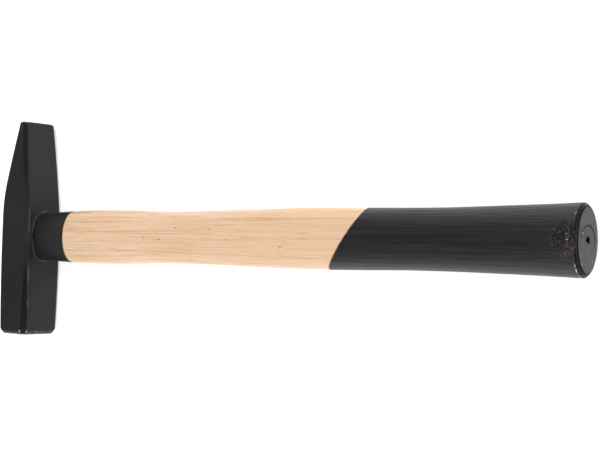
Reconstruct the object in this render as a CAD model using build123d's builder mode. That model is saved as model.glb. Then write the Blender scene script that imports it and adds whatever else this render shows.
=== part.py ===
"""Cross-peen hammer: forged head, wedged hickory handle, lacquered neck and dipped grip.

The hammer lies on one cheek. X runs along the handle towards the butt, Y along the head towards
the peen, and Z is up. The origin is on the lower cheek, straight below the centre of the eye.
"""
from build123d import *
import os

os.makedirs("parts", exist_ok=True)

# Driving dimensions, in millimetres

# Head
face_reach = 43.8          # eye centre to the striking face
peen_reach = 51.2          # eye centre to the edge of the peen
head_depth = 19.6          # along the handle, at the eye
face_depth = 17.6          # along the handle, at the striking face
head_width = 19.0          # cheek to cheek
peen_width = 17.0          # length of the peen's edge
peen_thickness = 4.5       # of the peen's edge, along the handle
peen_offset = 2.2          # peen's middle from the eye's, towards the handle
crown_taper_start = 17.0   # where the crown side starts to fall to the peen
crown_fall = 0.3           # how far it has curved in by there
handle_taper_start = 11.0  # the same two sizes on the side that faces the handle
handle_side_fall = 0.2
cheek_taper_start = 15.0   # where the cheeks start to close in
taper_blend = 60.0         # radius that eases each side into its taper
long_edge_chamfer = 1.4
face_edge_chamfer = 1.2
peen_edge_round = 1.0

# Eye, an hourglass that holds the wedged tenon
eye_height = 20.2          # along the head, at the eye's waist
eye_thickness = 11.0       # cheek to cheek, at the eye's waist
mouth_flare = 0.8          # how much wider the eye is on the handle's side
crown_flare = 1.5          # and on the far side, where the wedges spread the wood
lip_width = 1.1            # raised lip round the mouth
lip_height = 0.4

# Handle
hammer_length = 281.0      # end of the tenon to the end of the butt
tenon_stand_out = 0.7      # end of the tenon above the head's crown
neck_place = 30.0          # distances from the eye
neck_height = 22.0
neck_thickness = 12.4
swell_place = 57.0
swell_height = 22.8
swell_thickness = 13.4
waist_place = 92.0
waist_height = 20.9
waist_thickness = 12.8
middle_height = 21.3       # half way from the waist to the palm
middle_thickness = 13.4
palm_place = 107.5         # distances from the end of the butt
palm_height = 22.0
palm_thickness = 14.1
heel_place = 79.5
heel_height = 21.0
heel_thickness = 13.9
grip_place = 52.5
grip_height = 20.4
grip_thickness = 13.8
flare_place = 25.5
flare_height = 21.1
flare_thickness = 14.3
butt_height = 22.4
butt_thickness = 15.2
butt_edge_round = 1.1
centre_mark_radius = 1.3   # cone that the lathe's centre left in the butt
centre_mark_depth = 1.5

# Wedges
kerf_width = 0.8
kerf_land = 2.3            # wood left uncut between the kerf and the mouth of the eye
kerf_ahead = 3.0           # kerf left open ahead of the wooden wedge
wedge_thickness = 2.6      # at the driven end
wedge_tip = 0.8
ring_radius = 4.3
ring_wall = 1.3
ring_length = 8.5
ring_bevel = 0.6           # on the ring's leading edge

# Coats
neck_coat = 0.2
neck_coat_end = 30.5       # from the eye
dip_coat = 0.25
dip_reach = 89.0           # from the end of the butt to where the dip's edge crosses the axis
dip_lean_height = 0.765    # how far the edge runs on for each millimetre towards the peen
dip_lean_up = 0.35         # and for each millimetre up

# Clearances
eye_fit = 0.02             # tenon in the eye
wedge_fit = 0.03           # wedges in the wood
lip_fit = 0.05             # neck coat to the lip
cutter_run = 1.0           # how far a cut is carried past the surface that it opens

# Places that follow
axis_height = head_width / 2
crown = -head_depth / 2
mouth = head_depth / 2
tenon_end = crown - tenon_stand_out
butt_end = tenon_end + hammer_length
wood_end = butt_end - dip_coat
palm = butt_end - palm_place
kerf_end = mouth - kerf_land
wedge_point = kerf_end - kerf_ahead
half_width = head_width / 2
peen_low = peen_offset - peen_thickness / 2
peen_high = peen_offset + peen_thickness / 2


def across(distance):
    """Plane across the handle at a distance from the eye's centre."""
    return Plane(origin=(distance, 0, axis_height), x_dir=(0, 1, 0), z_dir=(1, 0, 0))


def eye_radii(distance, gap=0.0):
    """Half height and half thickness of the hourglass eye, less a gap all round."""
    flare = mouth_flare * distance / mouth if distance > 0 else crown_flare * distance / crown
    return (eye_height + flare) / 2 - gap, (eye_thickness + flare) / 2 - gap


# Sections of the wood from the mouth of the eye to the butt: place, half height, half thickness
wood_sections = [
    (mouth, *eye_radii(mouth, eye_fit)),
    (neck_place, neck_height / 2, neck_thickness / 2),
    (swell_place, swell_height / 2, swell_thickness / 2),
    (waist_place, waist_height / 2, waist_thickness / 2),
    ((waist_place + palm) / 2, middle_height / 2, middle_thickness / 2),
    (palm, palm_height / 2, palm_thickness / 2),
    (butt_end - heel_place, heel_height / 2, heel_thickness / 2),
    (butt_end - grip_place, grip_height / 2, grip_thickness / 2),
    (butt_end - flare_place, flare_height / 2, flare_thickness / 2),
    (wood_end, butt_height / 2, butt_thickness / 2),
]


# Head: the outline seen from the cheek is extruded and crossed with the outline of the cheeks
with BuildPart() as hammer_head:
    with BuildSketch(Plane.XY) as side_outline:
        with BuildLine():
            crown_side = ThreePointArc(
                (-face_depth / 2, -face_reach),
                (crown, 0),
                (crown + crown_fall, crown_taper_start),
            )
            handle_side = ThreePointArc(
                (face_depth / 2, -face_reach),
                (mouth, 0),
                (mouth - handle_side_fall, handle_taper_start),
            )
            crown_taper = Line(crown_side @ 1, (peen_low, peen_reach))
            handle_taper = Line(handle_side @ 1, (peen_high, peen_reach))
            Line(crown_taper @ 1, handle_taper @ 1)
            Line(crown_side @ 0, handle_side @ 0)
        make_face()
        taper_corners = side_outline.vertices().filter_by_position(Axis.Y, 0, peen_reach / 2)
        fillet(taper_corners, radius=taper_blend)
    extrude(amount=head_width)
    with BuildSketch(Plane.YZ.offset(crown - cutter_run)):
        with BuildLine():
            upper_cheek = Line((-face_reach, head_width), (cheek_taper_start, head_width))
            lower_cheek = Line((-face_reach, 0), (cheek_taper_start, 0))
            upper_taper = TangentArc(
                upper_cheek @ 1,
                (peen_reach, half_width + peen_width / 2),
                tangent=(1, 0),
            )
            lower_taper = TangentArc(
                lower_cheek @ 1,
                (peen_reach, half_width - peen_width / 2),
                tangent=(1, 0),
            )
            Line(upper_taper @ 1, lower_taper @ 1)
            Line(upper_cheek @ 0, lower_cheek @ 0)
        make_face()
    extrude(amount=head_depth + 2 * cutter_run, mode=Mode.INTERSECT)
    end_edges = hammer_head.faces().sort_by(Axis.Y)[0].edges()
    end_edges += hammer_head.faces().sort_by(Axis.Y)[-1].edges()
    chamfer(hammer_head.edges() - end_edges, length=long_edge_chamfer)
    chamfer(hammer_head.faces().sort_by(Axis.Y)[0].edges(), length=face_edge_chamfer)
    fillet(hammer_head.faces().sort_by(Axis.Y)[-1].edges(), radius=peen_edge_round)

    # Lip round the mouth of the eye, rooted in the head
    mouth_height, mouth_thickness = eye_radii(mouth)
    with BuildSketch(across(mouth - lip_width)):
        Ellipse(mouth_height + lip_width, mouth_thickness + lip_width)
    extrude(amount=lip_width + lip_height)

    # Eye, cut as the two halves of its hourglass
    for opening in (mouth + lip_height + cutter_run, tenon_end - cutter_run):
        with BuildSketch(across(0)):
            Ellipse(*eye_radii(0))
        with BuildSketch(across(opening)):
            Ellipse(*eye_radii(opening))
        loft(ruled=True, mode=Mode.SUBTRACT)
hammer_head.part.label = "hammer_head"
export_step(hammer_head.part, "parts/hammer_head.step")

# Steel ring, driven last, across the wooden wedge
with BuildPart() as ring_wedge:
    with BuildSketch(across(tenon_end)):
        Circle(ring_radius)
        Circle(ring_radius - ring_wall, mode=Mode.SUBTRACT)
    extrude(amount=ring_length)
    leading_edges = ring_wedge.faces().sort_by(Axis.X)[-1].edges()
    chamfer(leading_edges, length=ring_bevel)
ring_wedge.part.label = "ring_wedge"
export_step(ring_wedge.part, "parts/ring_wedge.step")

# Groove that the ring cuts for itself in the wood
with BuildPart() as ring_groove:
    with BuildSketch(across(tenon_end)):
        Circle(ring_radius + wedge_fit)
        Circle(ring_radius - ring_wall - wedge_fit, mode=Mode.SUBTRACT)
    extrude(amount=ring_length + wedge_fit)

# Tenon's outline, one length for each half of the eye
with BuildPart() as tenon:
    for end in (mouth, tenon_end):
        with BuildSketch(across(0)):
            Ellipse(*eye_radii(0, eye_fit))
        with BuildSketch(across(end)):
            Ellipse(*eye_radii(end, eye_fit))
        loft(ruled=True)

# Hardwood wedge, a taper trimmed to the tenon and cut by the ring
with BuildPart() as wooden_wedge:
    with BuildSketch(Plane.XZ):
        with BuildLine():
            Polyline(
                (tenon_end, axis_height - wedge_thickness / 2),
                (wedge_point, axis_height - wedge_tip / 2),
                (wedge_point, axis_height + wedge_tip / 2),
                (tenon_end, axis_height + wedge_thickness / 2),
                close=True,
            )
        make_face()
    extrude(amount=eye_height, both=True)
    add(tenon.part, mode=Mode.INTERSECT)
    add(ring_groove.part, mode=Mode.SUBTRACT)
wooden_wedge.part.label = "wooden_wedge"
export_step(wooden_wedge.part, "parts/wooden_wedge.step")

# Handle: the wood from the mouth of the eye to the butt, then its tenon with the kerf
cone_seat = (Align.CENTER, Align.CENTER, Align.MIN)
with BuildPart() as handle:
    for place, half_height, half_thickness in wood_sections:
        with BuildSketch(across(place)):
            Ellipse(half_height, half_thickness)
    loft()
    fillet(handle.faces().sort_by(Axis.X)[-1].edges(), radius=butt_edge_round)
    with Locations(across(wood_end - centre_mark_depth)):
        Cone(0, centre_mark_radius, centre_mark_depth, align=cone_seat, mode=Mode.SUBTRACT)
    add(tenon.part)
    with BuildSketch(Plane.XZ):
        with BuildLine():
            Polyline(
                (tenon_end, axis_height - wedge_thickness / 2 - wedge_fit),
                (wedge_point + wedge_fit, axis_height - wedge_tip / 2 - wedge_fit),
                (wedge_point + wedge_fit, axis_height + wedge_tip / 2 + wedge_fit),
                (tenon_end, axis_height + wedge_thickness / 2 + wedge_fit),
                close=True,
            )
        make_face()
        with Locations(((tenon_end + kerf_end) / 2, axis_height)):
            Rectangle(kerf_end - tenon_end, kerf_width)
    extrude(amount=eye_height, both=True, mode=Mode.SUBTRACT)
    add(ring_groove.part, mode=Mode.SUBTRACT)
handle.part.label = "handle"
export_step(handle.part, "parts/handle.step")

# Black lacquer on the neck, a film that ends square to the handle
with BuildPart() as neck_lacquer:
    for place, half_height, half_thickness in wood_sections:
        with BuildSketch(across(place)):
            Ellipse(half_height + neck_coat, half_thickness + neck_coat)
    loft()
    split(bisect_by=across(neck_coat_end), keep=Keep.BOTTOM)
    split(bisect_by=across(mouth + lip_height + lip_fit), keep=Keep.TOP)
    add(handle.part, mode=Mode.SUBTRACT)
neck_lacquer.part.label = "neck_lacquer"
export_step(neck_lacquer.part, "parts/neck_lacquer.step")

# Black dip over the grip and the butt, with a slanting edge
dip_edge = Plane(
    origin=(butt_end - dip_reach, 0, axis_height),
    z_dir=(1, -dip_lean_height, -dip_lean_up),
)
coat_sections = wood_sections[:-1] + [(butt_end, butt_height / 2, butt_thickness / 2)]
with BuildPart() as grip_dip_coat:
    for place, half_height, half_thickness in coat_sections:
        with BuildSketch(across(place)):
            Ellipse(half_height + dip_coat, half_thickness + dip_coat)
    loft()
    fillet(
        grip_dip_coat.faces().sort_by(Axis.X)[-1].edges(),
        radius=butt_edge_round + dip_coat,
    )
    split(bisect_by=dip_edge, keep=Keep.TOP)
    with Locations(across(butt_end - centre_mark_depth)):
        Cone(0, centre_mark_radius, centre_mark_depth, align=cone_seat, mode=Mode.SUBTRACT)
    add(handle.part, mode=Mode.SUBTRACT)
grip_dip_coat.part.label = "grip_dip_coat"
export_step(grip_dip_coat.part, "parts/grip_dip_coat.step")
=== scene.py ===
# %% [markdown]
# # A cross-peen hammer
#
# This lesson dresses a machinist's hammer: a forged black head, a hickory handle wedged into its
# eye, a lacquered neck and a grip dipped in black paint. The design, with every size, is a CAD
# model that is loaded as a fixed frame. Each piece is remade here as a fine mesh that is measured
# from that frame, so that it has the small unevenness that a real tool has and a CAD solid has
# not: eased edges, a wavy paint line, the marks that the lathe and the drying rack leave.
#
# The hammer lies on one cheek. X runs along the handle to the butt, Y along the head to the peen,
# and Z is up. All lengths are in metres.

# %% Load the frame
import math

import bmesh
import bpy
import numpy as np
from mathutils import Matrix, Vector, noise
from mathutils.bvhtree import BVHTree


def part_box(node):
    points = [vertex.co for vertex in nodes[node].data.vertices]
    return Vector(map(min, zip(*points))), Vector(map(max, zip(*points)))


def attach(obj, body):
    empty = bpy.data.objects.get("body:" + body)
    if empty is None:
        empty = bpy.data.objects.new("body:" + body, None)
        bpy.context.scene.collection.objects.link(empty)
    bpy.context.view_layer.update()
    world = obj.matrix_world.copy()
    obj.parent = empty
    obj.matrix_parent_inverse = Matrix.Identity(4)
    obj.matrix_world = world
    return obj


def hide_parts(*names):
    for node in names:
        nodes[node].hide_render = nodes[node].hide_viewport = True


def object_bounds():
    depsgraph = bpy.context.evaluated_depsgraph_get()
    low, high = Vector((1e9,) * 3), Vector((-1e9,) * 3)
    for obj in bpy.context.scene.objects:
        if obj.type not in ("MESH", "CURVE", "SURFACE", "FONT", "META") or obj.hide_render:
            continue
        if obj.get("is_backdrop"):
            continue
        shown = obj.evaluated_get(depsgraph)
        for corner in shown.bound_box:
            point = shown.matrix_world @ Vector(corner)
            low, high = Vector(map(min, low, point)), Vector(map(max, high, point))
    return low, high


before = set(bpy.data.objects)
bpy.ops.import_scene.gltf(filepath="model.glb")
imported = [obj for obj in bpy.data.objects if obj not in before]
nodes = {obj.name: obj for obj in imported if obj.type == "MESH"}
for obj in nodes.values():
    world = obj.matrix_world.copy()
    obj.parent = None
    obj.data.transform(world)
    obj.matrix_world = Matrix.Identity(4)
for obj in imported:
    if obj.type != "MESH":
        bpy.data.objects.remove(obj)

mm = 0.001
scene = bpy.context.scene
cad_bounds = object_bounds()
print("pieces in the frame:", ", ".join(sorted(nodes)))

# %% [markdown]
# ## Writing finishes as sums
#
# A finish is a web of shader nodes, and a web is hard to read. Here one small class, `Wire`, wraps
# the output of a node and knows how to add, subtract, multiply and divide, so that
# `1 - mask * 0.3` is written as it is said and adds its own Math nodes. `step` turns a number into
# a mask from 0 to 1, which is what nearly every finish is built from.

# %% Wires
class Wire:
    """The output of a node, which can be used in sums as if it were a number."""

    def __init__(self, finish, socket):
        self.finish = finish
        self.socket = socket

    def maths(self, operation, *values, clamp=False):
        settings = {"operation": operation, "use_clamp": clamp}
        return self.finish.node("ShaderNodeMath", settings, dict(enumerate(values)))

    def __add__(self, other):
        return self.maths("ADD", self, other)

    def __sub__(self, other):
        return self.maths("SUBTRACT", self, other)

    def __rsub__(self, other):
        return self.maths("SUBTRACT", other, self)

    def __mul__(self, other):
        return self.maths("MULTIPLY", self, other)

    def __truediv__(self, other):
        return self.maths("DIVIDE", self, other)

    def __pow__(self, other):
        return self.maths("POWER", self, other)

    __radd__ = __add__
    __rmul__ = __mul__

    def step(self, low, high):
        """0 below low, 1 above high and a straight slope between; low may be the greater."""
        slope = 1 / (high - low)
        return self.maths("MULTIPLY_ADD", self, slope, -low * slope, clamp=True)

    def fold(self):
        """The part after the decimal point."""
        return self.maths("FRACT", self)

    def size(self):
        """The number without its sign."""
        return self.maths("ABSOLUTE", self)


print("a wire can be added, subtracted, multiplied, divided and raised to a power")

# %% [markdown]
# `Web` holds the nodes themselves. One method, `node`, makes any kind of node: its settings are
# given first, then what goes into its sockets. Colours never pass through a Math node, which would
# turn them grey; they are blended with `mix`, or with `layers` where one lies over another. Noise
# and specks are laid on the piece's own place in metres, so a number of waves to the metre means
# the same on every piece.

# %% Webs
class Web:
    """The nodes of a material or a sky, laid on the place that one socket gives."""

    def __init__(self, owner, place):
        owner.use_nodes = True
        self.tree = owner.node_tree
        self.place = self.node("ShaderNodeTexCoord", output=place)
        split = self.node("ShaderNodeSeparateXYZ", values={0: self.place})
        self.x, self.y, self.z = (Wire(self, out) for out in split.socket.node.outputs)

    def feed(self, socket, value):
        if isinstance(value, Wire):
            self.tree.links.new(value.socket, socket)
        else:
            socket.default_value = value

    def node(self, kind, settings=None, values=None, output=0):
        made = self.tree.nodes.new(kind)
        for name, setting in (settings or {}).items():
            setattr(made, name, setting)
        for name, value in (values or {}).items():
            self.feed(made.inputs[name], value)
        return Wire(self, made.outputs[output])

    def mix(self, mask, under, over):
        """A colour that goes from under to over as mask goes from 0 to 1."""
        colours = [c if isinstance(c, Wire) else (*c, 1) for c in (under, over)]
        values = {0: mask, 6: colours[0], 7: colours[1]}
        return self.node("ShaderNodeMix", {"data_type": "RGBA"}, values, output=2)

    def layers(self, tone, *coats):
        """Lays coats over a colour, the first lowest; each is a mask and its colour."""
        for mask, colour in coats:
            tone = self.mix(mask, tone, colour)
        return tone

    def stretched(self, waves, shift):
        """The place on the piece, scaled to so many waves to the metre along each axis."""
        values = {0: self.place, 1: waves, 2: (shift, shift, shift)}
        return self.node("ShaderNodeVectorMath", {"operation": "MULTIPLY_ADD"}, values)

    def grain(self, waves, detail=2.0, roughness=0.5, shift=0.0):
        """Noise between 0 and 1."""
        values = {"Scale": 1.0, "Detail": detail, "Roughness": roughness}
        values["Vector"] = self.stretched(waves, shift)
        return self.node("ShaderNodeTexNoise", values=values)

    def specks(self, waves, radius, share, shift=0.0):
        """Small spots, 1 in the middle and 0 outside; share is how many cells have one."""
        values = {"Vector": self.stretched(waves, shift), "Scale": 1.0}
        distance = self.node("ShaderNodeTexVoronoi", values=values)
        lot = Wire(self, distance.socket.node.outputs["Color"])
        drawn = self.node("ShaderNodeTexWhiteNoise", {"noise_dimensions": "3D"}, {0: lot})
        return distance.step(radius, 0) * drawn.step(share + 0.01, share)


print("a web lays noise and specks on a piece")

# %% [markdown]
# `Finish` is a web that ends in one Principled shader. It can read a value that the mesh carries,
# tip the surface with a bump, and be worn by a piece.

# %% Finishes
class Finish(Web):
    """A material built on one Principled shader."""

    def __init__(self, name):
        self.material = bpy.data.materials.new(name)
        super().__init__(self.material, "Object")
        self.shader = self.tree.nodes["Principled BSDF"]

    def painted_on(self, attribute):
        """A value that the mesh carries at its points."""
        return self.node("ShaderNodeAttribute", {"attribute_name": attribute}, output="Fac")

    def bump(self, height, distance):
        """Tips the surface by a height from 0 to 1 that stands for a distance in metres."""
        values = {"Strength": 1.0, "Distance": distance, "Height": height}
        self.surface(Normal=self.node("ShaderNodeBump", values=values))

    def surface(self, **values):
        """Feeds the shader; an underscore in a name stands for a space."""
        for name, value in values.items():
            self.feed(self.shader.inputs[name.replace("_", " ")], value)

    def wear(self, piece):
        """Puts the finish on a piece and says how many nodes it took."""
        piece.data.materials.clear()
        piece.data.materials.append(self.material)
        print(f"{piece.name} wears {self.material.name}, {len(self.tree.nodes)} nodes")


print("a finish ends in one Principled shader")

# %% [markdown]
# ## Measuring the frame
#
# The handle is an oval that swells and thins along its length. Rather than repeat those sizes, the
# lesson feels for the surface as a pair of calipers would: from outside, a ray is sent square to
# the handle's axis, and where it meets the CAD solid is the handle's radius at that place and
# angle. A BVH tree makes many thousands of such rays quick.

# %% Calipers
low_corner, high_corner = (Vector(corner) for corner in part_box("hammer_head"))
axis_z = (low_corner.z + high_corner.z) / 2
lip_face = high_corner.x
lip_height = 0.4 * mm
mouth = lip_face - lip_height
far = 0.04


def tree_of(node):
    mesh = nodes[node].data
    points = [v.co.copy() for v in mesh.vertices]
    return BVHTree.FromPolygons(points, [tuple(p.vertices) for p in mesh.polygons])


def around(x, angle, radius):
    """The point at a place along the handle, an angle round it and a distance from its axis."""
    return Vector((x, radius * math.cos(angle), axis_z + radius * math.sin(angle)))


def calipers(tree, x, angle):
    """Distance from the handle's axis to the outside of the solid in the tree."""
    start = around(x, angle, far)
    aim = around(x, angle, 0.0) - start
    hit = tree.ray_cast(start, aim.normalized())[0]
    return far - (hit - start).length


wood_tree = tree_of("handle")
head_tree = tree_of("hammer_head")
wood_low, wood_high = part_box("handle")
for place in (0.03, 0.092, 0.163, 0.245):
    tall = calipers(wood_tree, place, 0.0)
    thick = calipers(wood_tree, place, math.pi / 2)
    print(f"handle at {place / mm:.0f} mm: {2 * tall / mm:.1f} tall, {2 * thick / mm:.1f} thick")

# %% [markdown]
# ## Skins from rows of points
#
# The handle, its coats and the ring are all round things, so one helper serves them: it takes rows
# of points, each row a loop of the same number, and joins row to row with quads. A piece such as
# the handle runs from a pole at one end to a pole at the other; a band, such as the lacquer on the
# neck, closes on itself like a tyre. Both are closed solids, as the real pieces are. The boolean
# or remesh of a piece is applied at once, so that its points can be worked on afterwards.

# %% Skins
def add_piece(name, mesh):
    piece = bpy.data.objects.new(name, mesh)
    scene.collection.objects.link(piece)
    for face in mesh.polygons:
        face.use_smooth = True
    return piece


def skin(name, rows, poles=None):
    """Joins rows of points into a closed mesh, with a pole at each end or as a closed band."""
    count = len(rows[0])
    points = [p for row in rows for p in row]
    pairs = [(r, r + 1) for r in range(len(rows) - 1)]
    faces = []
    if poles is None:
        pairs.append((len(rows) - 1, 0))
    else:
        points += list(poles)
        first, last = len(points) - 2, len(points) - 1
        end = (len(rows) - 1) * count
        faces += [(first, (k + 1) % count, k) for k in range(count)]
        faces += [(last, end + k, end + (k + 1) % count) for k in range(count)]
    for a, b in pairs:
        for k in range(count):
            m = (k + 1) % count
            faces.append((a * count + k, a * count + m, b * count + m, b * count + k))
    mesh = bpy.data.meshes.new(name)
    mesh.from_pydata(points, [], faces)
    shape = bmesh.new()
    shape.from_mesh(mesh)
    bmesh.ops.recalc_face_normals(shape, faces=shape.faces)
    shape.to_mesh(mesh)
    shape.free()
    return add_piece(name, mesh)


def apply_modifiers(piece):
    """Turns what the modifiers make into the piece's own mesh."""
    held = bpy.context.evaluated_depsgraph_get()
    mesh = bpy.data.meshes.new_from_object(piece.evaluated_get(held))
    piece.modifiers.clear()
    old, piece.data = piece.data, mesh
    bpy.data.meshes.remove(old)
    for face in mesh.polygons:
        face.use_smooth = True


def carve(piece, cutter):
    """Takes the cutter's shape out of the piece and throws the cutter away."""
    cut = piece.modifiers.new("carve", "BOOLEAN")
    cut.operation = "DIFFERENCE"
    cut.solver = "EXACT"
    cut.object = cutter
    apply_modifiers(piece)
    bpy.data.objects.remove(cutter)


print("skins are closed meshes with smooth faces")

# %% [markdown]
# Three small tools go with them: a noise that is the same each time, which stands for whatever
# the hand and the fire left uneven; a value kept on the points of a mesh, for a finish to read;
# and a soft step between two numbers.

# %% Unevenness
def ripple(point, waves, seed=0.0):
    """Smooth noise between -1 and 1, with so many waves to the metre along each axis."""
    x, y, z = (place * wave for place, wave in zip(point, waves))
    return noise.noise(Vector((x + seed, y, z)))


def write_on(piece, attribute, values):
    """Keeps a value for each point of the mesh, which a finish can read."""
    store = piece.data.attributes.new(attribute, "FLOAT", "POINT")
    store.data.foreach_set("value", np.asarray(values, np.float32))


def ease(value, low, high):
    """0 at low, 1 at high, and a smooth curve between."""
    t = min(max((value - low) / (high - low), 0.0), 1.0)
    return t * t * (3 - 2 * t)


print(f"ripple at one place: {ripple((0.1, 0.02, 0.03), (45, 45, 45)):.3f}")

# %% [markdown]
# ## The head
#
# The head is drop-forged: hot steel is hammered into a die, then the face and peen are ground and
# hardened. Every edge of a forging is eased and no flat is quite flat, and black paint softens it
# further. A chamfered CAD solid with bevels would keep knife-straight edges, so the solid is
# recast here in a fine voxel mesh, a third of a millimetre across, which rounds each edge by about
# its own size as paint does. Then a slow ripple a few hundredths of a millimetre deep sinks the
# surface in places. Nothing is moved outwards, so the head keeps its size.

# %% Recast the head
paint_voxel = 0.32 * mm

head_mesh = nodes["hammer_head"].data.copy()
shape = bmesh.new()
shape.from_mesh(head_mesh)
bmesh.ops.remove_doubles(shape, verts=shape.verts, dist=0.001 * mm)
shape.to_mesh(head_mesh)
shape.free()
head = add_piece("forged_head", head_mesh)
recast = head.modifiers.new("recast", "REMESH")
recast.mode = "VOXEL"
recast.voxel_size = paint_voxel
apply_modifiers(head)


def read(mesh, what, width, kind=float):
    """All of one kind of number of a mesh, as a table."""
    source = mesh.edges if what == "vertices" else mesh.vertices
    table = np.empty(len(source) * width, kind)
    source.foreach_get(what, table)
    return table.reshape(-1, width)


spots = read(head.data, "co", 3)
print(f"head: {len(spots)} points, {len(head.data.polygons)} faces")

# %% [markdown]
# To dress the edges, the head's sides have to be known all along it. Its half depth and half width
# are felt for every millimetre, above the eye, and each point of the mesh is then told how far it
# lies inside the nearest side, cheek and striking face.

# %% Feel for the sides
face_gap = 1.6 * mm
peen_gap = 1.4 * mm
eye_reach = 14 * mm
feel_places = np.arange(low_corner.y + face_gap, high_corner.y - peen_gap, 1.0 * mm)
feel_z = axis_z + 6.9 * mm
along_x = Vector((1, 0, 0))
along_z = Vector((0, 0, 1))
feel_rows = []
for y in feel_places:
    front = head_tree.ray_cast(Vector((far, y, feel_z)), -along_x)[0].x
    back = head_tree.ray_cast(Vector((-far, y, feel_z)), along_x)[0].x
    centre = (front + back) / 2
    if abs(y) < eye_reach:
        top = high_corner.z
    else:
        top = head_tree.ray_cast(Vector((centre, y, far)), -along_z)[0].z
    feel_rows.append((centre, (front - back) / 2, top - axis_z))
feel_rows = np.array(feel_rows)
middle_x, half_x, half_z = (np.interp(spots[:, 1], feel_places, column) for column in feel_rows.T)
side_x = np.sign(spots[:, 0] - middle_x)
side_z = np.sign(spots[:, 2] - axis_z)
in_x = abs(spots[:, 0] - middle_x) - half_x
in_z = abs(spots[:, 2] - axis_z) - half_z
in_y = low_corner.y - spots[:, 1]
print(f"felt for the sides at {len(feel_rows)} places")

# %% [markdown]
# The edges of a forged head are dressed on a belt after forging, by hand, so no two chamfers are
# the same. The edge nearest the handle on the upper cheek was dressed hardest, and the belt bit
# deeper towards its ends. A point that stands outside the chamfer's plane is moved straight back
# onto it. The rim of the face and its corners are dressed the same way. Where the hard-dressed
# chamfer lies, and its sharp upper edge, are kept on the mesh for the paint.

# %% Plane the edges
even_to_face, face_run = 8 * mm, 34 * mm
even_to_peen, peen_run = 10 * mm, 38 * mm
towards_face = np.clip((-spots[:, 1] - even_to_face) / face_run, 0, 1)
towards_peen = np.clip((spots[:, 1] - even_to_peen) / peen_run, 0, 1)
dressed = (side_x > 0) & (side_z > 0)
even_cut = 1.4
deeper_at_face = 0.8
deeper_at_peen = 0.3
deeper = deeper_at_face * towards_face ** 1.4 + deeper_at_peen * towards_peen
long_cut = (even_cut + dressed * deeper) * mm
rim_cut = 1.45 * mm
corner_cut = 3.7 * mm
edge_blur = 0.30 * mm
flat_slack = 0.05 * mm
flat_blur = 0.2 * mm
over = np.maximum(in_x + in_z + long_cut, 0) / 2
chamfer_face = dressed * np.clip((in_x + in_z + long_cut + flat_slack) / flat_blur, 0, 1)
hand_edge = np.exp(-(in_x / edge_blur) ** 2 - ((in_z + long_cut) / edge_blur) ** 2) * dressed
spots[:, 0] -= side_x * over
spots[:, 2] -= side_z * over
for axis, inner, sign in ((0, in_x, side_x), (2, in_z, side_z)):
    over = np.maximum(inner + in_y + rim_cut, 0) / 2
    spots[:, axis] -= sign * over
    spots[:, 1] += over
over = np.maximum(in_x + in_z + in_y + corner_cut, 0) / 3
spots[:, 0] -= side_x * over
spots[:, 1] += over
spots[:, 2] -= side_z * over
head.data.vertices.foreach_set("co", spots.ravel())
soften = head.modifiers.new("soften", "SMOOTH")
soften.factor = 0.5
soften.iterations = 2
apply_modifiers(head)
spots = read(head.data, "co", 3)
outward = read(head.data, "normal", 3)
links = read(head.data, "vertices", 2, int)
print(f"chamfers run from {long_cut.min() / mm:.1f} to {long_cut.max() / mm:.1f} mm")

# %% [markdown]
# Paint is thinnest where an edge is sharp, and that is where it wears through first. How sharp the
# surface is at a point can be measured: on a ridge a point stands out from the middle of its
# neighbours. That number is kept on the mesh for the paint to read.

# %% Find the ridges, then sink the surface
def neighbours_mean(values):
    total = np.zeros_like(values)
    amount = np.zeros(len(values))
    for here, there in ((0, 1), (1, 0)):
        np.add.at(total, links[:, here], values[links[:, there]])
        np.add.at(amount, links[:, here], 1)
    return total / amount.reshape(-1, *[1] * (values.ndim - 1))


stand_out = ((spots - neighbours_mean(spots)) * outward).sum(1) / paint_voxel
for _ in range(2):
    stand_out = (stand_out + neighbours_mean(stand_out)) / 2
forging_depth = 0.05 * mm
sink = np.array([
    0.5 + 0.35 * ripple(p, (150, 110, 150)) + 0.15 * ripple(p, (520, 520, 520), 7.0)
    for p in spots
])
spots -= outward * (sink * forging_depth)[:, None]
head.data.vertices.foreach_set("co", spots.ravel())
sharpest = np.percentile(stand_out, 99)
write_on(head, "ridge", np.clip(stand_out / sharpest, 0, 1))
write_on(head, "chamfer_face", chamfer_face)
write_on(head, "hand_edge", hand_edge)
print("ridge percentiles:", np.percentile(stand_out, (50, 90, 95, 99)).round(3))
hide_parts("hammer_head")
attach(head, "root")

# %% [markdown]
# ## The handle's wood
#
# The handle is turned on a copying lathe and sanded on a belt, so it is an oval that follows its
# master closely but never exactly. Its half height and half thickness are measured every
# millimetre and smoothed, which removes the small flats of the CAD mesh.

# %% Measure the ovals
tenon_end = wood_low.x
butt_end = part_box("grip_dip_coat")[1].x
wood_end = wood_high.x
crown = low_corner.x
edge_zone = 2.5 * mm
slant = math.radians(25)


def measure_oval(x):
    """Half height and half thickness; the tall one from a slanted ray that misses the kerf."""
    thick = calipers(wood_tree, x, math.pi / 2)
    reach = calipers(wood_tree, x, slant)
    across = reach * math.sin(slant) / thick
    tall = reach * math.cos(slant) / math.sqrt(1 - across * across)
    return tall, thick


stations = np.arange(mouth + 0.6 * mm, wood_end - edge_zone, 1.0 * mm)
measured = np.array([measure_oval(x) for x in stations])
blur_reach = 9
blur_width = 3.5
blur = np.exp(-0.5 * (np.arange(-blur_reach, blur_reach + 1) / blur_width) ** 2)
blur /= blur.sum()
smoothed = np.empty_like(measured)
for axis in (0, 1):
    padded = np.pad(measured[:, axis], blur_reach, mode="reflect", reflect_type="odd")
    smoothed[:, axis] = np.convolve(padded, blur, mode="valid")


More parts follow.
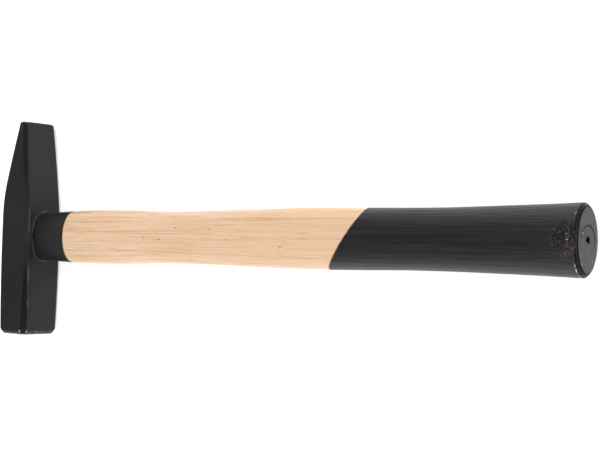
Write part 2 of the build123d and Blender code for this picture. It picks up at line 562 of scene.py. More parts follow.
def oval(x):
    """Half height and half thickness of the wood, beyond the mouth of the eye."""
    x = min(max(x, stations[0]), stations[-1])
    return (np.interp(x, stations, smoothed[:, 0]), np.interp(x, stations, smoothed[:, 1]))


def on_oval(x, angle, grow=0.0, scale=1.0):
    tall, thick = oval(x)
    tall = (tall + grow) * scale
    thick = (thick + grow) * scale
    return Vector((x, tall * math.cos(angle), axis_z + thick * math.sin(angle)))


print(f"{len(stations)} ovals measured, the last {2 * smoothed[-1][0] / mm:.1f} tall")

# %% [markdown]
# Rows of points are laid on the ovals from the end of the tenon to the end of the wood. The sander
# leaves long shallow waves, and the harder late wood of each growth ring stands a hair proud. The
# rows are fine where the wood is bare and coarse under the dip, which hides it. The dip's slanting
# edge is worked out here too, as the wood stops being bare there.

# %% Lay the rows of the wood
around_count = 160
angles = [2 * math.pi * k / around_count for k in range(around_count)]
sander_wave = 0.06 * mm
fibre_lift = 0.025 * mm
row_step = 0.62 * mm
dip_line = 181.5 * mm
dip_lean_y = 0.765
dip_lean_z = 0.35


def dip_edge(angle):
    """Where the dip's edge crosses the handle at an angle round it."""
    x = dip_line
    for _ in range(6):
        point = on_oval(x, angle)
        x = dip_line + dip_lean_y * point.y + dip_lean_z * (point.z - axis_z)
    waver = 0.16 * ripple((0, math.cos(angle), math.sin(angle)), (1, 1.7, 1.7), 3.0)
    return x + (waver + 0.05 * math.sin(angle * 23 + 1)) * mm


def wood_point(x, angle):
    point = on_oval(x, angle)
    sander = ripple(point, (22, 70, 70)) - 1
    fibre = ripple(point, (45, 900, 900), 5.0) - 1
    drop = -(sander * sander_wave + fibre * fibre_lift) / 2
    centre = Vector((x, 0, axis_z))
    return point + (centre - point).normalized() * drop


def tenon_row(x, scale=1.0):
    tall, thick = (half * scale for half in measure_oval(x))
    return [Vector((x, tall * math.cos(a), axis_z + thick * math.sin(a))) for a in angles]


covered = dip_line + 12 * mm
tenon_places = np.linspace(tenon_end + 0.35 * mm, mouth - 0.1 * mm, 40)
rows = [tenon_row(tenon_places[0], s) for s in (0.3, 0.6, 0.85, 0.96)]
for row in rows:
    for point in row:
        point.x = tenon_end + 0.02 * mm
rows += [tenon_row(x) for x in tenon_places]
bare_places = np.arange(mouth + 0.4 * mm, covered, row_step)
covered_places = np.arange(covered, wood_end - 1.5 * mm, 2 * mm)
rows += [[wood_point(x, a) for a in angles] for x in (*bare_places, *covered_places)]
for inward, back in ((0.0, 2.0), (0.5, 1.5), (1.2, 0.8), (1.9, 0.3), (2.2, 0.1)):
    shrink = 1 - inward * mm / oval(wood_end)[1]
    rows.append([on_oval(wood_end, a, scale=shrink) - Vector((back * mm, 0, 0)) for a in angles])
end_gap = Vector((0.1 * mm, 0, 0))
rows += [[on_oval(wood_end, a, scale=s) - end_gap for a in angles] for s in (0.5, 0.2)]
centre_mark_depth = 1.8 * mm
poles = (Vector((tenon_end, 0, axis_z)), Vector((wood_end - centre_mark_depth, 0, axis_z)))
wood = skin("hickory_handle", rows, poles)
print(f"wood: {len(wood.data.polygons)} faces")

# %% [markdown]
# The tenon is sawn down its middle before it goes into the eye, a hardwood wedge is driven into
# the kerf, and a steel ring is driven across both so that neither can work loose. The slot and the
# ring's groove are taken out of the wood with booleans, with cutters shaped a touch larger than
# the wedges themselves.

# %% Cut the kerf and the groove
wedge_low, wedge_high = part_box("wooden_wedge")
ring_low, ring_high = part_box("ring_wedge")
fit = 0.03 * mm
kerf_half = 0.4 * mm
kerf_end = 7.5 * mm
wedge_half = (wedge_high.z - wedge_low.z) / 2 + fit
tip_half = 0.43 * mm
past = 1.0 * mm
side = 14 * mm
outline = [
    (tenon_end - past, wedge_half), (wedge_high.x, tip_half), (wedge_high.x, kerf_half),
    (kerf_end, kerf_half), (kerf_end, -kerf_half), (wedge_high.x, -kerf_half),
    (wedge_high.x, -tip_half), (tenon_end - past, -wedge_half),
]
slot_rows = [[Vector((x, y, axis_z + z)) for x, z in outline] for y in (-side, side)]
slot_poles = [Vector((-2 * mm, y, axis_z)) for y in (-side, side)]
carve(wood, skin("kerf", slot_rows, slot_poles))

ring_out = (ring_high.z - ring_low.z) / 2
ring_in = 3.0 * mm


def hoop(profile, wobble=0.0):
    """Rows of a turned ring: each (x, radius) of the profile swept round the handle's axis."""
    made = []
    for x, radius in profile:
        uneven = [ripple((x, math.cos(a), math.sin(a)), (900, 3, 3)) for a in angles]
        made.append([around(x, a, radius + wobble * u) for a, u in zip(angles, uneven)])
    return made


groove = [
    (tenon_end - past, ring_out + fit), (ring_high.x + fit, ring_out + fit),
    (ring_high.x + fit, ring_in - fit), (tenon_end - past, ring_in - fit),
]
carve(wood, skin("groove", hoop(groove)))
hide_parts("handle")
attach(wood, "root")
print(f"wood after sawing: {len(wood.data.polygons)} faces")

# %% [markdown]
# ## The wedges
#
# The wooden wedge is split, not sawn, so its end is fibrous and a little uneven, and the mallet
# has bruised its corners. It is recast from the CAD wedge like the head, in finer voxels. The ring
# is cut from drawn tube and its end is peened over where the hammer struck it, so it is swept from
# a profile whose driven end bulges and whose far end is sharpened.

# %% Make the wedges
wood_voxel = 0.2 * mm
split_rise = 0.12 * mm
wedge = add_piece("hardwood_wedge", nodes["wooden_wedge"].data.copy())
recast = wedge.modifiers.new("recast", "REMESH")
recast.mode = "VOXEL"
recast.voxel_size = wood_voxel
soften = wedge.modifiers.new("soften", "SMOOTH")
soften.iterations = 2
apply_modifiers(wedge)
for point in wedge.data.vertices:
    if point.co.x < crown:
        fibre = ripple(point.co, (300, 500, 1500), 2.0) + 1
        point.co.x += split_rise * fibre
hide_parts("wooden_wedge")
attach(wedge, "root")

bevel = 0.6 * mm
wall = ring_out - ring_in
near, distant = ring_low.x, ring_high.x
profile = [
    (near + 0.30 * mm, ring_out), (near + 0.10 * mm, ring_out - 0.05 * mm),
    (near + 0.02 * mm, ring_out - 0.22 * mm), (near + 0.01 * mm, ring_in + wall / 2),
    (near + 0.02 * mm, ring_in + 0.22 * mm), (near + 0.10 * mm, ring_in + 0.05 * mm),
    (near + 0.30 * mm, ring_in), (near + 2 * mm, ring_in), (near + 5 * mm, ring_in),
    (distant - bevel, ring_in), (distant - 0.1 * mm, ring_in + bevel - 0.1 * mm),
    (distant, ring_in + bevel), (distant, ring_out - bevel),
    (distant - 0.1 * mm, ring_out - bevel + 0.1 * mm), (distant - bevel, ring_out),
    (near + 5 * mm, ring_out), (near + 2 * mm, ring_out), (near + 0.8 * mm, ring_out),
]
ring = skin("steel_ring_wedge", hoop(profile, 0.012 * mm))
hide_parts("ring_wedge")
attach(ring, "root")
print(f"wedge: {len(wedge.data.polygons)} faces, ring: {len(ring.data.polygons)} faces")

# %% [markdown]
# ## The lacquer on the neck
#
# After the head is on, the neck is brushed with black lacquer, which seals the joint against damp.
# It is a thin film whose far edge is nearly square to the handle, with the small waver of the
# brush. The film rises over half a millimetre from nothing to its full thickness, so the light
# rounds off its edge as it does on the real thing.

# %% Brush the neck
film = 0.2 * mm
neck_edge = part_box("neck_lacquer")[1].x
neck_start = mouth - 0.3 * mm
film_rows = []


def neck_line(angle):
    waver = ripple((0, math.cos(angle), math.sin(angle)), (1, 2.3, 2.3), 9.0)
    return neck_edge - (0.18 - 0.18 * waver) * mm


for share, lift in ((1.0, 0.0), (0.995, 0.05), (0.985, 0.11), (0.97, 0.16), (0.95, 0.19)):
    film_rows.append((share, lift * mm))
film_rows += [(share, film) for share in np.linspace(0.92, 0.0, 34)]
rows = []
for share, lift in film_rows:
    row = []
    for a in angles:
        x = neck_start + (neck_line(a) - neck_start) * share
        wave = 0.03 * mm * ripple((x, math.cos(a), math.sin(a)), (60, 5, 5), 4.0)
        outside_eye = ease(x, mouth + 0.1 * mm, lip_face + 0.6 * mm)
        row.append(on_oval(x, a, (lift + wave * (lift / film)) * (0.1 + 0.9 * outside_eye)))
    rows.append(row)
rows += [[on_oval(neck_start, a, -0.1 * mm) for a in angles]]
rows += [[on_oval(neck_line(a) - 1 * mm, a, -0.1 * mm) for a in angles]]
neck = skin("neck_film", rows)
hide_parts("neck_lacquer")
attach(neck, "root")
print(f"neck film: {len(neck.data.polygons)} faces")

# %% [markdown]
# ## The dipped grip
#
# The grip is dipped at a slant into thick black paint and hung up to drain. The dip follows the
# wood's grain in long faint streaks, ends in a rounded lip where it stopped, and gathers at the
# butt. Where the grip was held to dry, the coat is wrinkled and rubbed. Both are shallow changes
# of the coat's height, so each point of its outside is moved out or in by a small sum of ripples.

# %% Shape of the dip
coat = 0.25 * mm
chamfer_along = 1.4 * mm
chamfer_in = 1.45 * mm
shoulder_circle = 4.4 * mm
scuff_centre = Vector((266.2, 0.8, 0)) * mm
scuff_size = Vector((5.2, 6.6, 0)) * mm
coarse_streak = 0.045
fine_streak = 0.03
sag_height = 0.05
wrinkle_depth = 0.34


def scuffed(point):
    """How far a place lies inside the wrinkled patch, from 0 to 1."""
    if point.z < axis_z:
        return 0.0
    along = (point.x - scuff_centre.x) / scuff_size.x
    across = (point.y - scuff_centre.y) / scuff_size.y
    ragged = 0.35 * ripple(point, (260, 260, 260), 8.0)
    return 1 - ease(math.hypot(along, across) + ragged, 0.55, 1.05)


def relief(point):
    """Height of the coat's streaks and wrinkles at a place."""
    coarse = coarse_streak * ripple(point, (28, 420, 420), 1.0)
    fine = fine_streak * ripple(point, (80, 1000, 1000), 6.0)
    sag = sag_height * ripple(point, (35, 90, 90), 2.0)
    folds = abs(ripple(point, (520, 430, 430), 3.0))
    folds += 0.6 * abs(ripple(point, (1100, 900, 900), 5.0))
    return (coarse + fine + sag - wrinkle_depth * folds * scuffed(point)) * mm


outside = []
side_end = butt_end - chamfer_along
meniscus = ((0.0, 0.02), (0.04, 0.10), (0.12, 0.19), (0.26, 0.26), (0.45, 0.30), (0.8, 0.29))
for run, lift in meniscus:
    outside.append([on_oval(dip_edge(a) + run * mm, a, lift * mm) for a in angles])
for share in np.linspace(0, 1, 205):
    row = []
    for a in angles:
        start = dip_edge(a) + 1.3 * mm
        x = start + (side_end - 0.25 * mm - start) * share
        point = on_oval(x, a, coat)
        centre = Vector((x, 0, axis_z))
        row.append(point + (point - centre).normalized() * relief(point))
    outside.append(row)
print(f"side of the grip: {len(outside)} rows")

# %% [markdown]
# The butt's edge is broken by a wide chamfer, with a crease where it meets the end. Its profile is
# a short list of how far back from the butt's end and how far in from the side each row lies. The
# end itself is a set of rings towards the centre, sunk by the marks that it carries: the dimple of
# the lathe's running centre, and the circle that the centre's shoulder pressed round it.

# %% The butt
edge_profile = (
    (1.42, -0.04), (1.28, -0.03), (1.16, 0.05), (0.95, 0.22), (0.75, 0.42), (0.55, 0.62),
    (0.38, 0.80), (0.26, 0.94), (0.22, 1.02), (0.28, 1.10), (0.30, 1.18), (0.20, 1.28),
    (0.09, 1.36), (0.06, 1.45),
)
tall_side, thick_side = (half + coat for half in oval(side_end))
for back, inward in edge_profile:
    row = []
    for a in angles:
        y = (tall_side - inward * mm) * math.cos(a)
        z = axis_z + (thick_side - inward * mm) * math.sin(a)
        dent = 0.16 * mm * ripple((0, y, z), (350, 350, 350), 11.0) ** 2
        row.append(Vector((butt_end - back * mm - dent, y, z)))
    outside.append(row)


def end_mark(distance, angle):
    """How far a place on the end lies behind its highest, in millimetres."""
    circle = math.exp(-((distance - shoulder_circle) / (0.28 * mm)) ** 2)
    cone = max(1 - distance / (1.35 * mm), 0)
    rim = math.exp(-((distance - 1.7 * mm) / (0.3 * mm)) ** 2)
    pressed = 0.45 + 0.55 * math.cos(angle + 0.5)
    return max(0.06 + 0.16 * circle * max(pressed, 0.08) + 1.3 * cone - 0.05 * rim, 0)


tall_end = tall_side - chamfer_in
thick_end = thick_side - chamfer_in
for share in np.concatenate((np.linspace(0.985, 0.22, 44), np.linspace(0.2, 0.02, 12))):
    row = []
    for a in angles:
        y = tall_end * share * math.cos(a)
        z = thick_end * share * math.sin(a)
        uneven = 0.05 * ripple((0, y, z), (1, 160, 420), 12.0)
        depth = end_mark(math.hypot(y, z), math.atan2(z, y)) + uneven
        row.append(Vector((butt_end - depth * mm, y, axis_z + z)))
    outside.append(row)
print(f"grip with its butt: {len(outside)} rows")

# %% [markdown]
# The coat is a real skin with an inside, which lies a little under the wood's surface so that no
# gap shows at the lip. Inside and outside are joined at the lip and closed at the butt.

# %% Close the coat
under = -0.12 * mm
deep = butt_end - 2.4 * mm
inside = []
for share in np.linspace(0, 1, 40):
    row = []
    for a in angles:
        start = dip_edge(a) + 1 * mm
        row.append(on_oval(start + (deep - start) * share, a, under))
    inside.append(row)
for share in (0.8, 0.5, 0.2):
    inside.append([on_oval(deep, a, under, share) for a in angles])
end_poles = (Vector((butt_end - 1.4 * mm, 0, axis_z)), Vector((deep, 0, axis_z)))
grip = skin("dipped_grip", outside[::-1] + inside, end_poles)
write_on(grip, "scuff", [scuffed(v.co) for v in grip.data.vertices])
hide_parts("grip_dip_coat")
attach(grip, "root")
print(f"coat: {len(grip.data.polygons)} faces")

# %% [markdown]
# ## Hickory
#
# Hickory is pale and straight-grained, with long brown lines where the rings of pores come to the
# surface. The rings are flat sheets on the scale of a handle, so one sum of Y and Z, bent by a slow
# noise, counts them: its fraction is the place within a ring. The pores themselves are noise
# stretched along the handle, so that each spot becomes a short dash. Because all of it is solid in
# space, the end of the tenon shows end grain without any more work.

# %% The grain of the wood
hickory = Finish("hickory")
bend = hickory.grain((5, 45, 45), 3.0, 0.5)
rings = (hickory.y * 0.93 + hickory.z * 0.36) * 340 + bend * 2.6
in_ring = rings.fold()
pore_line = in_ring.step(0.16, 0.03) * in_ring.step(0.0, 0.02)
broken = hickory.grain((20, 300, 300), 3.0, 0.6, 4.0)
line = pore_line * broken.step(0.42, 0.62)
dash = hickory.grain((130, 1700, 1700), 3.0, 0.65, 9.0).step(0.54, 0.66)
fibre = hickory.grain((26, 2600, 2600), 4.0, 0.70, 2.0)
cloud = hickory.grain((14, 80, 80), 3.0, 0.5, 6.0)
hair = hickory.grain((6, 1900, 1900), 2.0, 0.5, 15.0).step(0.60, 0.70)
long_line = hickory.grain((5, 760, 760), 2.0, 0.4, 31.0).step(0.63, 0.69)
warm = hickory.grain((16, 330, 330), 3.0, 0.6, 21.0).step(0.55, 0.72)
pins = hickory.specks((150, 300, 300), 0.14, 0.32)
print("hickory's grain:", len(hickory.tree.nodes), "nodes")

# %% [markdown]
# No two handles are alike, and this one has marks of its own: dark streaks along its upper flank
# near the head, an orange streak low on the other side, and wood that deepens towards the butt.
# Each is a mask from how far a point is from the streak's middle. The colours are then laid over
# one another, from the widest and palest to the smallest and darkest.

# %% The marks and colours of the wood
upper_flank = hickory.y.step(9.6 * mm, 10.3 * mm)
flank = upper_flank * hickory.x.step(78 * mm, 60 * mm)
flank_line = flank * hickory.grain((22, 900, 900), 3.0, 0.6, 17.0).step(0.46, 0.60)
low_across = (hickory.y + 8.3 * mm).size().step(0.55 * mm, 0.10 * mm)
low_side = hickory.z.step(axis_z, axis_z + 2 * mm)
low_along = (hickory.x - 44 * mm).size().step(17 * mm, 8 * mm)
low_line = low_across * low_side * low_along
towards_butt = hickory.x.step(70 * mm, 170 * mm)

pale = (0.95, 0.705, 0.500)
honey = (0.74, 0.475, 0.285)
orange = (0.66, 0.33, 0.13)
brown = (0.36, 0.18, 0.08)
umber = (0.12, 0.06, 0.035)
tone = hickory.layers(
    pale,
    (cloud.step(0.35, 0.68) * 0.34, honey),
    (towards_butt * 0.42, honey),
    (fibre.step(0.38, 0.64) * 0.66, honey),
    (warm * 0.40, orange),
    (line * 0.34, brown),
    (hair * 0.40, brown),
    (long_line * 0.28, brown),
    (dash * 0.34, orange),
    (low_line * 0.45, orange),
    (flank_line * 0.55, umber),
    (pins * 0.80, umber),
)
print("hickory's colours:", len(hickory.tree.nodes), "nodes")

# %% [markdown]
# Where the black coats end, a little of them has crept along the open grain. A hairline of the
# wood beside each edge is stained brown, and past it the sanding left a paler strip. How far a
# point lies outside an edge follows from the same line and slant that the coats were cut to.

# %% Stained edges
ahead = dip_line + (hickory.y * dip_lean_y + (hickory.z - axis_z) * dip_lean_z) - hickory.x
behind = hickory.x - neck_edge
creep = hickory.grain((300, 900, 900), 3.0, 0.6, 11.0) * 0.5 * mm
stain = (ahead - creep).step(0.30 * mm, 0.05 * mm) + (behind - creep).step(0.25 * mm, 0.0)
rubbed_pale = ahead.step(1.1 * mm, 0.5 * mm) + behind.step(1.0 * mm, 0.4 * mm)
sanded = (0.93, 0.72, 0.53)
stained = (0.30, 0.13, 0.05)
tone = hickory.layers(tone, (rubbed_pale * 0.45, sanded), (stain * 0.65, stained))
hickory.surface(Base_Color=tone, Roughness=fibre * 0.16 + 0.46, Specular_IOR_Level=0.35)
hickory.bump(fibre * 0.5 + dash * -0.5 + line * -0.3, 0.05 * mm)
hickory.wear(wood)

# %% [markdown]
# The wedge is from the same kind of wood, but split from a darker, drier billet and never sanded,
# so it is coarser.

# %% The wedge's finish
split_wood = Finish("split_hardwood")
fibres = split_wood.grain((300, 1800, 2600), 4.0, 0.7)
damp = split_wood.grain((60, 160, 160), 3.0, 0.5, 3.0)
tone = split_wood.mix(fibres.step(0.35, 0.65), (0.52, 0.33, 0.18), (0.26, 0.14, 0.07))
tone = split_wood.mix(damp.step(0.5, 0.7) * 0.5, tone, (0.14, 0.08, 0.05))
split_wood.surface(Base_Color=tone, Roughness=fibres * 0.2 + 0.62)
split_wood.bump(fibres, 0.12 * mm)
split_wood.wear(wedge)

# %% [markdown]
# ## Steel
#
# The ring is bare drawn steel with a few specks of rust. Its scratches run round it, so the noise
# is stretched along a circle: the distance from the handle's axis and the place along it vary
# quickly, the angle slowly.

# %% The ring's finish
drawn_steel = Finish("drawn_steel")
scratches = drawn_steel.grain((5200, 300, 300), 3.0, 0.6)
rust = drawn_steel.grain((700, 700, 700), 4.0, 0.65, 5.0).step(0.58, 0.70)
tone = drawn_steel.mix(scratches.step(0.35, 0.7), (0.42, 0.41, 0.40), (0.25, 0.245, 0.24))
tone = drawn_steel.mix(rust * 0.6, tone, (0.16, 0.07, 0.03))
drawn_steel.surface(
    Base_Color=tone, Metallic=1 - rust * 0.7, Roughness=scratches * 0.2 + rust * 0.35 + 0.26
)
drawn_steel.bump(scratches - rust, 0.02 * mm)
drawn_steel.wear(ring)

# %% [markdown]
# ## The painted head
#
# The head is dipped in satin black enamel and its striking face is then ground bare. The paint is
# nearly even, but never quite: it lies over forging scale, has the fine peel of sprayed enamel,
# and has rubbed through in specks along the sharpest edges. One mask, `bare`, chooses between
# paint and steel; it comes from how near the point is to the face and from the ridges that were
# measured on the mesh.

# %% Where the steel is bare
enamel = Finish("satin_black_enamel")
peel = enamel.grain((900, 900, 900), 2.0, 0.5)
scale_marks = enamel.grain((160, 120, 160), 4.0, 0.6, 3.0)
smudge = enamel.grain((45, 30, 45), 3.0, 0.5, 7.0)
chipping = enamel.grain((420, 420, 420), 4.0, 0.7, 1.0)
ridge = enamel.painted_on("ridge")
face_line = low_corner.y + 0.45 * mm
ragged_y = enamel.y + chipping * 0.5 * mm
on_face = ragged_y.step(face_line + 0.35 * mm, face_line + 0.15 * mm)
near_ends = (enamel.y - 3.5 * mm).size().step(42 * mm, 46 * mm)
chipped = (ridge * chipping).step(0.41, 0.51) * near_ends
bare = 1 - (1 - on_face) * (1 - chipped)
print("bare steel:", len(enamel.tree.nodes), "nodes")

# %% [markdown]
# Two kinds of line stand out on the painted head. Round the mouth of the eye a painted highlight
# lies on the lip, in a bright ring and a faint one outside it: both are distances from one oval.
# Along the dressed edge a broken grey line is painted, and the chamfer under it is painted blacker
# than the rest, as painted shade.

# %% Lines in the paint
tall_mouth = 10.5 * mm
thick_mouth = 5.9 * mm
from_middle = enamel.z - axis_z
mouth_oval = ((enamel.y / tall_mouth) ** 2 + (from_middle / thick_mouth) ** 2) ** 0.5
lip_gap = (mouth_oval - 1) * 7 * mm
inner_lip = (lip_gap - 0.22 * mm).size().step(0.16 * mm, 0.04 * mm)
outer_lip = (lip_gap - 1.0 * mm).size().step(0.16 * mm, 0.04 * mm)
handle_side = enamel.x.step(mouth + 0.1 * mm, mouth + 0.25 * mm)
lip = (inner_lip + outer_lip * 0.35) * handle_side
# The lip's bright lines are a painted highlight, broken by a noise.
lip_painted_highlight = lip * enamel.grain((350, 350, 350), 3.0, 0.6, 8.0).step(0.30, 0.58)
broken_line = enamel.grain((300, 90, 300), 3.0, 0.6, 6.0).step(0.44, 0.60)
middle_length = (enamel.y + 9 * mm).size().step(31 * mm, 24 * mm)
# A broken grey line painted along the dressed edge.
grey_edge_line = enamel.painted_on("hand_edge") * broken_line * middle_length
# Painted shade: the dressed chamfer is painted near black, with Metallic raised to take away its
# reflection.
chamfer_painted_shade = enamel.painted_on("chamfer_face") * (1 - grey_edge_line) * 0.55
print("lines in the paint:", len(enamel.tree.nodes), "nodes")

# %% [markdown]
# A painted surface always mirrors a little of a pale room, so a very black line cannot be had from
# its colour alone. It can be had by leading Metallic up where the base colour is almost black,
# because a metal mirrors only as much as its colour allows. The chamfer is darkened that way, as
# painted shade.

# %% Paint and steel
grinding = enamel.grain((4200, 300, 260), 3.0, 0.6, 2.0)
scratches = enamel.grain((1500, 45, 1500), 2.0, 0.5, 4.0).step(0.72, 0.76)
black = enamel.mix(smudge.step(0.35, 0.7), (0.0118, 0.0118, 0.0121), (0.0180, 0.0178, 0.0176))
black = enamel.layers(
    black,
    (scratches * 0.25, (0.06, 0.06, 0.06)),
    # the broken grey line along the dressed edge
    (grey_edge_line * 0.75, (0.16, 0.158, 0.155)),
    # painted highlight on the lip
    (lip_painted_highlight * 0.85, (0.34, 0.34, 0.335)),
    # painted shade on the dressed chamfer
    (chamfer_painted_shade, (0.002, 0.002, 0.002)),
)
steel = enamel.mix(grinding.step(0.3, 0.7), (0.52, 0.51, 0.50), (0.36, 0.355, 0.35))
paint_rough = scale_marks * 0.14 + smudge * 0.10 + 0.42
steel_rough = grinding * 0.14 + 0.28
enamel.surface(
    Base_Color=enamel.mix(bare, black, steel),
    Metallic=1 - (1 - bare) * (1 - chamfer_painted_shade),
    Roughness=paint_rough * (1 - bare) + steel_rough * bare,
    Specular_IOR_Level=0.24,
)
enamel.bump(peel * 0.18 + scale_marks * 0.7 + grinding * bare * 0.2, 0.09 * mm)
enamel.wear(head)

# %% [markdown]
# ## Lacquer and dip
#
# Both black coats are thick and glossy next to the enamel. The lacquer keeps the brush marks,
# which run round the neck, and a little dust that settled while it was wet.

# %% The lacquer's finish
lacquer = Finish("brushed_lacquer")
brushing = lacquer.grain((1500, 120, 120), 3.0, 0.55)
dust = lacquer.specks((900, 900, 900), 0.12, 0.05)
tone = lacquer.mix(brushing, (0.0095, 0.0102, 0.0097), (0.0155, 0.0157, 0.0148))
lacquer.surface(
    Base_Color=tone, Roughness=brushing * 0.14 + dust * 0.2 + 0.32, Specular_IOR_Level=0.4
)
lacquer.bump(brushing * 0.6 + dust, 0.03 * mm)
lacquer.wear(neck)

# %% [markdown]
# The dip keeps the streaks of the grain under it: they catch the light as long pale lines. Its
# colour hardly changes, so most of the work is left to roughness and bump.

# %% The dip's streaks
dip = Finish("black_dip")
streaks = dip.grain((18, 1250, 1250), 4.0, 0.66)
drips = dip.grain((60, 240, 240), 3.0, 0.55, 5.0)
pits = dip.specks((420, 700, 700), 0.16, 0.05)
dip_tone = dip.mix(streaks.step(0.35, 0.70), (0.0085, 0.0085, 0.0087), (0.0170, 0.0168, 0.0165))
print("streaks:", len(dip.tree.nodes), "nodes")

# %% [markdown]
# The patch is a mesh value, so its outline is the same one that wrinkled the mesh. Inside it a
# fine noise, folded about its middle, draws the crooked cracks, whose near black is painted shade
# in them; the crests between them are rubbed grey; and low on the patch the brown primer shows.
# Pale flecks on the patch are painted glints.

# %% The rubbed patch
scuff = dip.painted_on("scuff")
crackle = (dip.grain((760, 600, 600), 4.0, 0.75, 3.0) - 0.5).size()
crack = crackle.step(0.07, 0.0) * scuff
crest = crackle.step(0.08, 0.16) * scuff
primer_along = dip.x - 267.9 * mm
primer_across = dip.y + 3.4 * mm
primer_far = primer_along * primer_along + primer_across * primer_across
near_primer = primer_far.step((3.2 * mm) ** 2, (1.6 * mm) ** 2)
primer_spots = dip.grain((900, 900, 900), 3.0, 0.6, 8.0).step(0.42, 0.56)
primer = near_primer * scuff * primer_spots
# Pale flecks on the patch are painted glints.
patch_painted_glints = dip.specks((800, 800, 800), 0.30, 0.10, 4.0) * scuff
dip_tone = dip.layers(
    dip_tone,
    (crest * 0.85, (0.115, 0.112, 0.108)),
    (primer * 0.7, (0.105, 0.074, 0.058)),
    # real cracks, their near black painted as shade
    (crack * 0.9, (0.003, 0.003, 0.003)),
    # painted glints on the patch
    (patch_painted_glints * 0.8, (0.46, 0.45, 0.43)),
)
print("with the patch:", len(dip.tree.nodes), "nodes")

# %% [markdown]
# The end of the butt has stood on shelves and benches: it is dull grey, partly dust and partly
# painted sheen, brushed with marks that run along its height. The dimple, the pressed circle on one
# side and the crease inside the chamfer are painted black, as painted shade in these hollows, with
# a few dark nicks. All three are distances from the middle of the end.

# %% Painted shade and dark nicks on the end
across_end = dip.z - axis_z
from_centre = (dip.y * dip.y + across_end * across_end) ** 0.5
circle = (from_centre - shoulder_circle).size().step(0.42 * mm, 0.14 * mm)
circle_side = (dip.y * 0.88 - across_end * 0.48).step(-1.5 * mm, 3.5 * mm)
dimple = from_centre.step(1.35 * mm, 1.05 * mm)
oval_place = ((dip.y / tall_end) ** 2 + (across_end / thick_end) ** 2) ** 0.5
crease = (oval_place - 1.05).size().step(0.055, 0.025)
nicks = dip.specks((1, 320, 420), 0.20, 0.12, 6.0)
# The dimple, the circle on one side and the crease are painted black as painted shade; the dark
# nicks are marks.
end_shade_and_dark_nicks = 1 - (1 - circle * circle_side) * (1 - dimple) * (1 - crease) * (1 - nicks)
flat_end = dip.x.step(butt_end - 0.6 * mm, butt_end - 0.3 * mm)
on_end = 1 - (1 - flat_end) * (1 - dimple)
print("blacks of the end:", len(dip.tree.nodes), "nodes")

# %% [markdown]
# What is pale is drawn after them: dust and painted sheen in the brushed marks, a painted glint in
# the dimple, a few nicks, and a broken line of painted glints where the chamfer meets the side,
# which shows most above and below.

# %% Pale marks, painted sheen and painted glints on the end
brushed = dip.grain((1, 150, 900), 4.0, 0.65, 14.0)
# The end's dull grey is partly dust in the brushed marks and partly painted sheen.
dust_and_sheen = on_end * (brushed.step(0.30, 0.70) * 0.85 + 0.25)
# A painted glint in the dimple, a little below its middle.
glint_distance = ((dip.y + 0.75 * mm) ** 2 + across_end * across_end) ** 0.5
dimple_painted_glint = glint_distance.step(0.42 * mm, 0.22 * mm)
pale_nicks = dip.specks((1, 360, 420), 0.15, 0.09, 12.0)
glint_and_pale_nicks = 1 - (1 - dimple_painted_glint) * (1 - pale_nicks)
# A broken line of painted glints where the chamfer meets the side, strongest above and below.
chamfer_line = (dip.x - butt_end + 1.35 * mm).size().step(0.22 * mm, 0.05 * mm)
glint_breaks = dip.grain((500, 300, 300), 3.0, 0.7, 9.0).step(0.50, 0.60)
above_below = dip.y.size().step(5.5 * mm, 8 * mm) * 0.85 + 0.15
chamfer_painted_glints = chamfer_line * glint_breaks * above_below
dip_tone = dip.layers(
    dip_tone,
    # dust and painted sheen on the end
    (dust_and_sheen, (0.048, 0.048, 0.048)),
    # painted shade in the end's hollows, and dark nicks
    (on_end * end_shade_and_dark_nicks * 0.97, (0.003, 0.003, 0.003)),
    # a painted glint in the dimple, and pale nicks
    (on_end * glint_and_pale_nicks * 0.9, (0.55, 0.55, 0.55)),
    # painted glints along the butt's chamfer
    (chamfer_painted_glints * 0.9, (0.60, 0.60, 0.60)),
)
print("with the end:", len(dip.tree.nodes), "nodes")

# %% [markdown]
# The parts are joined on one shader. `dark` is the mask that leads Metallic up where the coat is
# made truly black as painted shade, as on the head: the end's hollows with its dark nicks, the
# cracks and most of the chamfer.

# %% Join the dip's parts
# Painted shade: most of the butt's chamfer is darkened by raising Metallic on the black coat.
on_chamfer = dip.x.step(butt_end - 1.25 * mm, butt_end - 1.0 * mm) * (1 - on_end)
end_shade_and_nick_black = on_end * end_shade_and_dark_nicks * (1 - glint_and_pale_nicks)
dark = 1 - (1 - end_shade_and_nick_black) * (1 - crack * 0.8) * (1 - on_chamfer * 0.75)
dip.surface(
    Base_Color=dip_tone,
    Metallic=dark,
    Roughness=streaks * 0.24 + drips * 0.10 + on_end * 0.12 + crest * 0.12 + 0.20,
    Specular_IOR_Level=0.42,
)
height = streaks * 1.4 + drips * 0.5 - pits * 0.6 + scuff * crackle.step(0.0, 0.2) * 1.6
dip.bump(height + on_end * brushed * 0.5, 0.15 * mm)
dip.wear(grip)

# %% [markdown]
# ## Floor, light and camera
#
# The hammer lies on a wide table of white paper. The paper glows a little, as it would in a light
# tent that is lit from below as well, so that it stays white and the shadows stay faint.

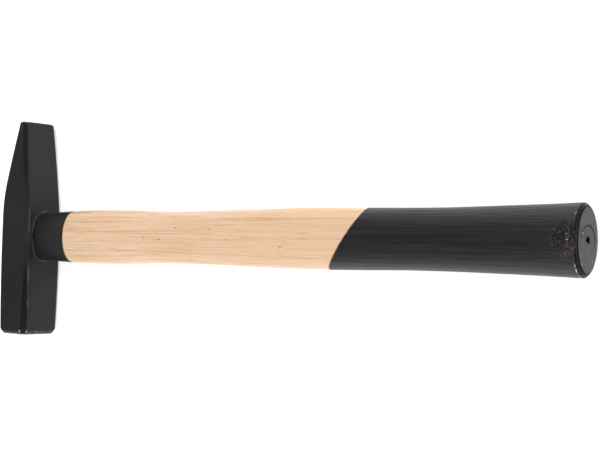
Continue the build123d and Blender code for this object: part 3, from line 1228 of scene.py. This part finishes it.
# %% The floor
floor_glow = 0.55
floor_z = low_corner.z - 0.05 * mm
floor_half = 2.0
corners = ((-1, -1), (1, -1), (1, 1), (-1, 1))
floor_mesh = bpy.data.meshes.new("floor")
floor_points = [(x * floor_half, y * floor_half, floor_z) for x, y in corners]
floor_mesh.from_pydata(floor_points, [], [(0, 1, 2, 3)])
floor = add_piece("floor", floor_mesh)
paper = Finish("white_paper")
tooth = paper.grain((900, 900, 900), 3.0, 0.5)
paper.surface(Base_Color=paper.mix(tooth, (0.86, 0.86, 0.86), (0.90, 0.90, 0.90)), Roughness=0.9)
white = (1, 1, 1, 1)
paper.surface(Emission_Color=white, Emission_Strength=floor_glow)
paper.wear(floor)
floor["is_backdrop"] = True

# %% [markdown]
# The sky is pale near the horizon and darker overhead. Black paint shows what it reflects, so its
# upward surfaces mirror the dark part and its rims the pale part, which draws the shape. The
# colours are shown as they are, with no film curve.

# %% The sky
sky_low = 0.58
sky_high = 0.22
sky = bpy.data.worlds.new("sky")
heaven = Web(sky, "Generated")
overhead = heaven.z.step(0.22, 0.62)
background = sky.node_tree.nodes["Background"]
heaven.feed(background.inputs["Strength"], overhead * (sky_high - sky_low) + sky_low)
heaven.feed(background.inputs["Color"], white)
scene.world = sky
scene.view_settings.view_transform = "Standard"
print(f"sky from {sky_low} at the horizon to {sky_high} overhead")

# %% [markdown]
# Two large lamps high on either side draw pale bands along the grip, and two long low ones light
# the ends of the head. All four are broad, since a small lamp would draw a hard shadow.

# %% The lamps
def lamp(name, place, aim, size, power):
    """A square-cut lamp that looks at a point; sizes in metres and power in watts."""
    light = bpy.data.lights.new(name, "AREA")
    light.shape = "RECTANGLE"
    light.size, light.size_y = size
    light.energy = power
    stand = bpy.data.objects.new(name, light)
    stand.location = place
    stand.rotation_euler = (Vector(aim) - Vector(place)).to_track_quat("-Z", "Y").to_euler()
    scene.collection.objects.link(stand)


middle = (0.12, 0, axis_z)
lamps = {
    "left_key_lamp": ((0.38, 0.85, 0.95), (0.8, 0.8), 8.0),
    "right_key_lamp": ((0.38, -0.85, 0.95), (0.8, 0.8), 8.0),
    "peen_side_lamp": ((0.1, 1.1, 0.40), (1.2, 0.4), 2.7),
    "face_side_lamp": ((0.1, -1.1, 0.30), (1.2, 0.3), 2.3),
}
for name, (place, size, power) in lamps.items():
    lamp(name, place, middle, size, power)
print("lamps:", ", ".join(lamps))

# %% [markdown]
# The camera stands high on the butt's side and looks back along the handle, so the butt is large
# and the head small. Its turn is given by three directions, its right, its down and its forward,
# worked out from yaw, pitch and roll as if the hammer stood on its striking face, and then laid
# down with it.

# %% The camera
yaw, pitch, roll = math.radians(41.09), math.radians(1.79), math.radians(-1.49)
level = math.cos(pitch)
forward = Vector((-math.sin(yaw) * level, math.cos(yaw) * level, math.sin(pitch)))
right = Vector((math.cos(yaw), math.sin(yaw), 0))
down = forward.cross(right)
right, down = (
    math.cos(roll) * right + math.sin(roll) * down,
    math.cos(roll) * down - math.sin(roll) * right,
)


def laid_down(v):
    """From a hammer that stands on its face to one that lies on its cheek."""
    return Vector((v.x, v.z, -v.y))


turned = Matrix([laid_down(v) for v in (right, -down, -forward)]).transposed()
lens = bpy.data.cameras.new("camera")
lens.sensor_width = 36
lens.lens = 68.55
lens.shift_x = 0.0338
lens.shift_y = 0.0041
camera = bpy.data.objects.new("camera", lens)
camera_place = (0.42395, -0.00913, 0.3247)
camera.matrix_world = Matrix.Translation(camera_place) @ turned.to_4x4()
scene.collection.objects.link(camera)
scene.camera = camera
print("camera at", [round(c, 3) for c in camera.matrix_world.translation])

# %% [markdown]
# ## The sizes
#
# The box round the visible pieces is printed next to the box of the CAD model, so that the two can
# be compared.

# %% Print the sizes
bpy.context.view_layer.update()
visual_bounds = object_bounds()
sizes = {
    "cad": [[float(c) for c in corner] for corner in cad_bounds],
    "visual": [[float(c) for c in corner] for corner in visual_bounds],
}
for name, box in sizes.items():
    print(name, [[round(c / mm, 2) for c in corner] for corner in box])
